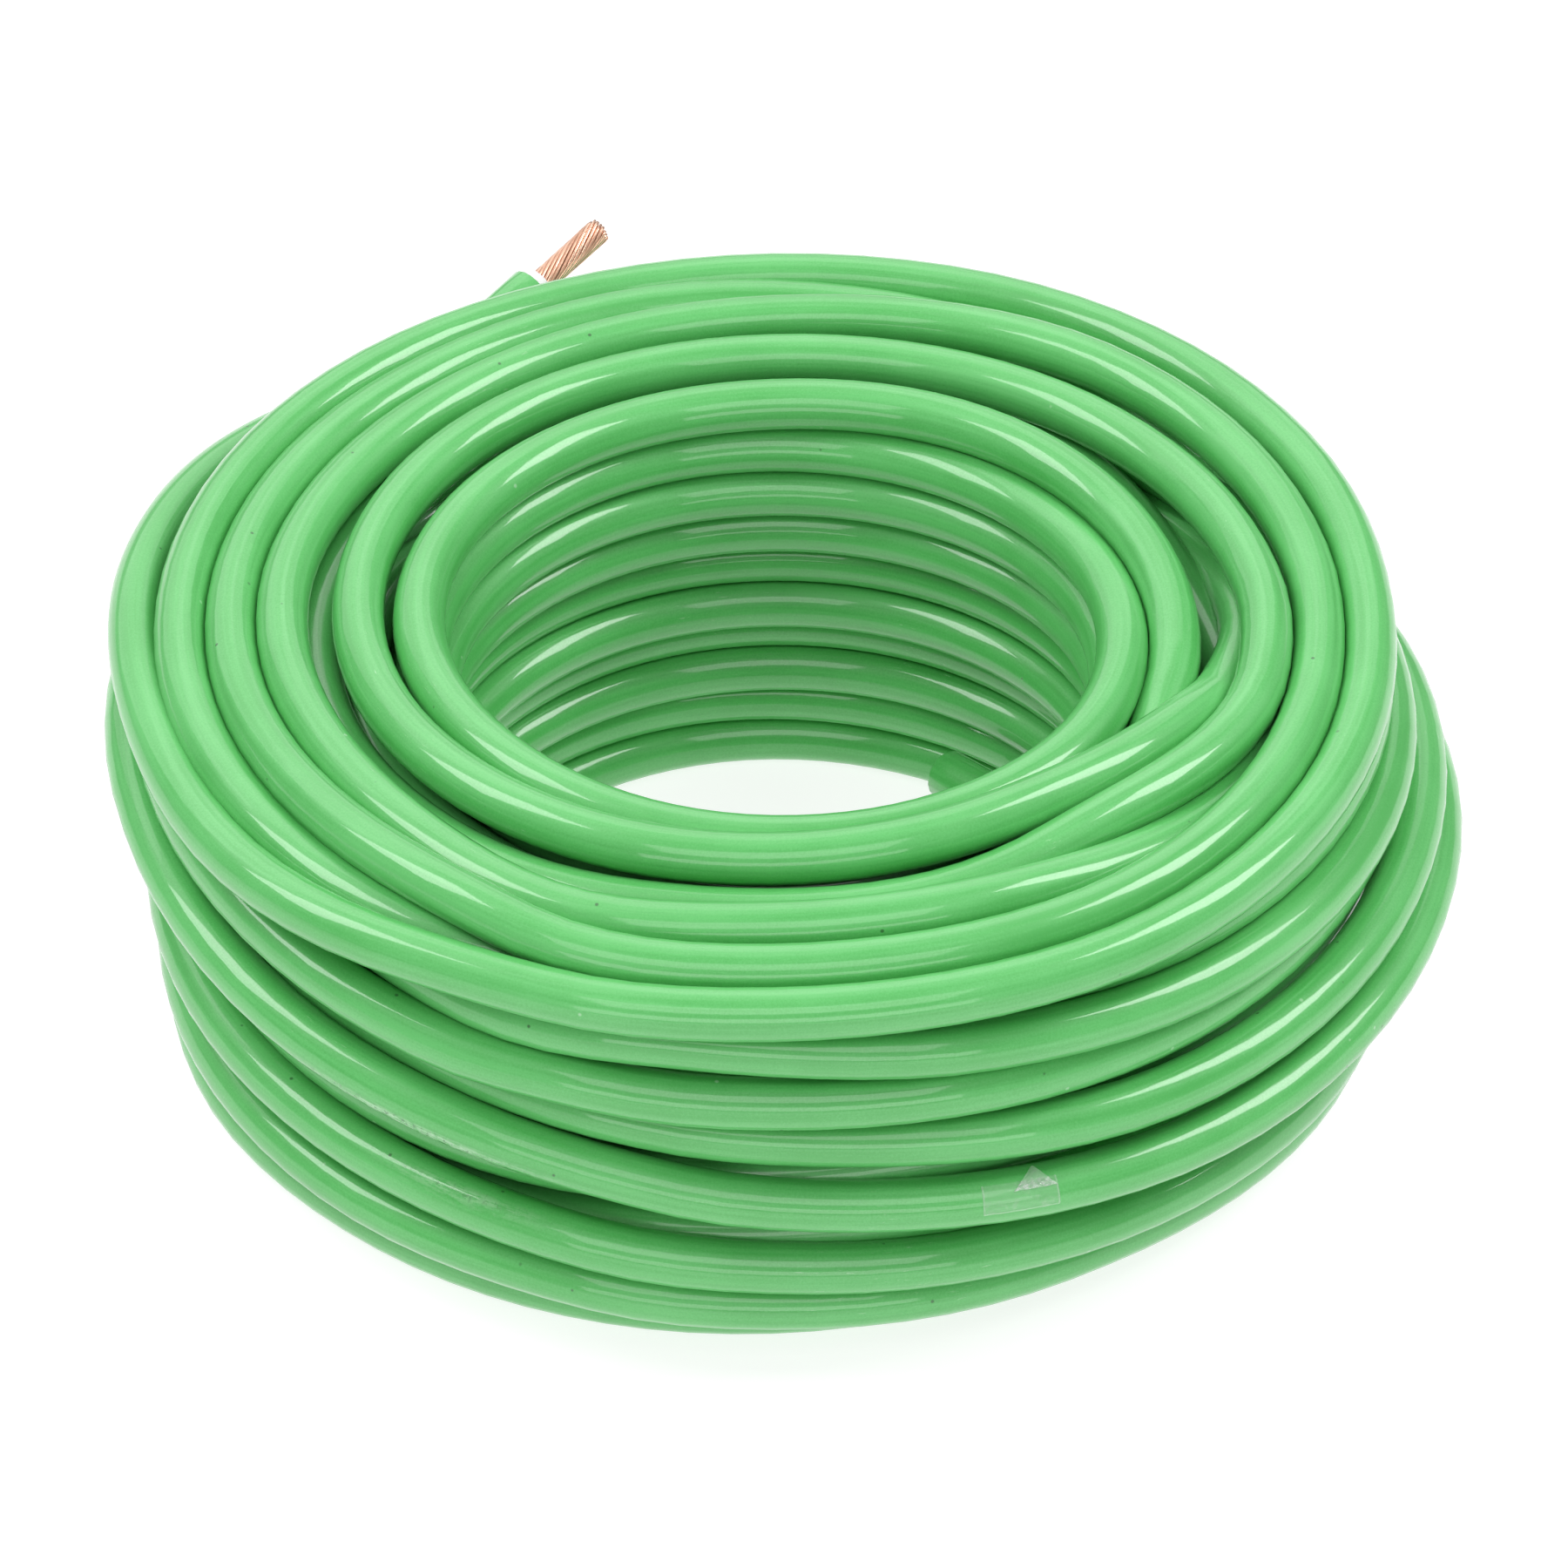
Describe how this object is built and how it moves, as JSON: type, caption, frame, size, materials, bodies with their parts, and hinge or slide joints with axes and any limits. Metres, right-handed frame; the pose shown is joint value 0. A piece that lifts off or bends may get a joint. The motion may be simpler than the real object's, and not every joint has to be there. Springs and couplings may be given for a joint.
{
  "type": "coil of insulated wire",
  "caption": "Round coil of green insulated stranded copper wire, wound without a reel in layers, lying flat, with one end stripped.",
  "frame": {"origin": "on the axis of the coil's eye, on the surface that the coil lies on", "axes": "+Z along the eye's axis, up; -Y towards the front, where the scrap of tape is; the stripped outer end is at the back left, at -X +Y"},
  "size_m": [0.1738, 0.1803, 0.0642],
  "materials": {
    "green_pvc": "satin",
    "white_pvc": "matte",
    "copper": "bright drawn copper",
    "clear_tape": "clear"
  },
  "bodies": {
    "root": {"winding_layer_1": "green_pvc", "winding_layer_2": "green_pvc", "winding_layer_3": "green_pvc", "winding_layer_4": "green_pvc", "winding_layer_5": "green_pvc", "winding_layer_6": "green_pvc", "first_turn": "green_pvc", "last_turn": "green_pvc", "inner_tail": "green_pvc", "outer_tail": "green_pvc", "inner_end_skin": "green_pvc", "inner_end_insulation": "white_pvc", "inner_end_strands": "copper", "outer_end_skin": "green_pvc", "outer_end_insulation": "white_pvc", "core_strand": "copper", "strand_layer_1": "copper", "strand_layer_2": "copper", "strand_layer_3": "copper", "tape_scrap": "clear_tape"}
  },
  "joints": []
}
